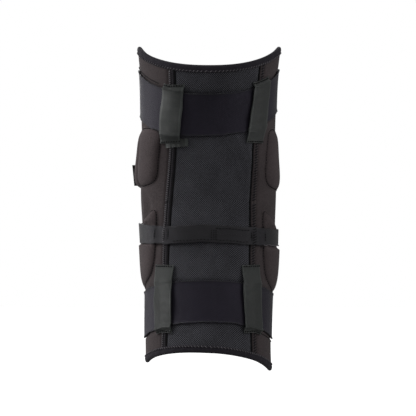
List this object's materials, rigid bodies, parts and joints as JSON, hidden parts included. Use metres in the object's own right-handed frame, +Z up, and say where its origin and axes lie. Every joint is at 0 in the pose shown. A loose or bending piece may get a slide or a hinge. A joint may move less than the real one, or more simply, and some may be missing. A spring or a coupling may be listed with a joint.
{
  "type": "knee brace",
  "caption": "Padded pull-on knee brace: bent knitted sleeve with mesh back, kneecap cup, side pads and two hook-and-loop straps held by webbing loops.",
  "frame": {"origin": "on the leg's centre line at the height where the knee bends", "axes": "+Z up the leg, -Y to the kneecap side, +Y to the back of the knee, +X to the outer side of a left leg"},
  "size_m": [0.1488, 0.1586, 0.3241],
  "materials": {
    "spacer_mesh": "matte three-layer spacer mesh with a fine dot relief",
    "side_knit": "matte brown-charcoal brushed knit",
    "cover_knit": "matte dark stretch knit",
    "seam_thread": "dense flatlock stitching",
    "binding": "soft navy-black folded binding",
    "silicone": "satin silicone dots",
    "wide_elastic": "ribbed navy-black elastic",
    "narrow_elastic": "ribbed green-black elastic",
    "webbing": "grey-green ribbed webbing",
    "bartack_thread": "black thread",
    "loop_pile": "brushed loop pile",
    "hook": "fine moulded hooks",
    "thumb_pull": "matte soft moulding with ribs",
    "foam": "closed-cell foam",
    "label": "plain woven label"
  },
  "bodies": {
    "thigh": {"thigh_back_mesh": "spacer_mesh", "thigh_lateral_panel": "side_knit", "thigh_medial_panel": "side_knit", "thigh_front_panel": "cover_knit", "thigh_back_seams": "seam_thread", "thigh_hem": "binding", "thigh_grip_band": "silicone", "thigh_strap": "wide_elastic", "thigh_strap_anchor": "cover_knit", "thigh_lateral_loop": "webbing", "thigh_medial_loop": "webbing", "thigh_bartacks": "bartack_thread", "thigh_landing_patch": "loop_pile", "thigh_pad": "cover_knit", "upper_lateral_pad": "side_knit", "upper_medial_pad": "side_knit", "side_label": "label"},
    "knee": {"knee_front_panel": "cover_knit", "knee_back_mesh": "spacer_mesh", "knee_lateral_gusset": "side_knit", "knee_medial_gusset": "side_knit", "knee_back_seams": "seam_thread", "knee_foam_cup": "foam", "knee_cup_cover": "cover_knit", "mid_strap": "narrow_elastic"},
    "calf": {"calf_back_mesh": "spacer_mesh", "calf_lateral_panel": "side_knit", "calf_medial_panel": "side_knit", "calf_front_panel": "cover_knit", "calf_back_seams": "seam_thread", "calf_hem": "binding", "calf_grip_band": "silicone", "calf_strap": "wide_elastic", "calf_strap_anchor": "cover_knit", "calf_lateral_loop": "webbing", "calf_medial_loop": "webbing", "calf_bartacks": "bartack_thread", "calf_landing_patch": "loop_pile", "upper_shin_pad": "cover_knit", "lower_shin_pad": "cover_knit", "lower_lateral_pad": "side_knit", "lower_medial_pad": "side_knit"},
    "thigh_tab": {"thigh_strap_tab": "wide_elastic", "thigh_hook_patch": "hook", "thigh_tab_pull": "thumb_pull"},
    "calf_tab": {"calf_strap_tab": "wide_elastic", "calf_hook_patch": "hook", "calf_tab_pull": "thumb_pull"}
  },
  "joints": [
    {"name": "knee_upper_flex", "type": "hinge", "parent": "thigh", "child": "knee", "pos_m": [0, 0.01, 0], "axis": [1, 0, 0], "range_deg": [0, 40], "stiffness_Nm_per_rad": 1.5, "deforming": ["knee_back_mesh", "knee_lateral_gusset", "knee_medial_gusset", "knee_back_seams", "mid_strap"]},
    {"name": "knee_lower_flex", "type": "hinge", "parent": "knee", "child": "calf", "pos_m": [0, 0.01, 0], "axis": [1, 0, 0], "range_deg": [0, 40], "stiffness_Nm_per_rad": 1.5},
    {"name": "thigh_tab_peel", "type": "hinge", "parent": "thigh", "child": "thigh_tab", "pos_m": [0.06709, -0.0146, 0.1095], "axis": [0.035, 0.1787, 0.9833], "range_deg": [0, 100]},
    {"name": "calf_tab_peel", "type": "hinge", "parent": "calf", "child": "calf_tab", "pos_m": [0.06223, -0.01003, -0.1145], "axis": [0.0236, -0.2063, 0.9782], "range_deg": [0, 100]}
  ],
  "couplings": [
    {"joint": "knee_lower_flex", "follows": "knee_upper_flex", "ratio": 1}
  ]
}
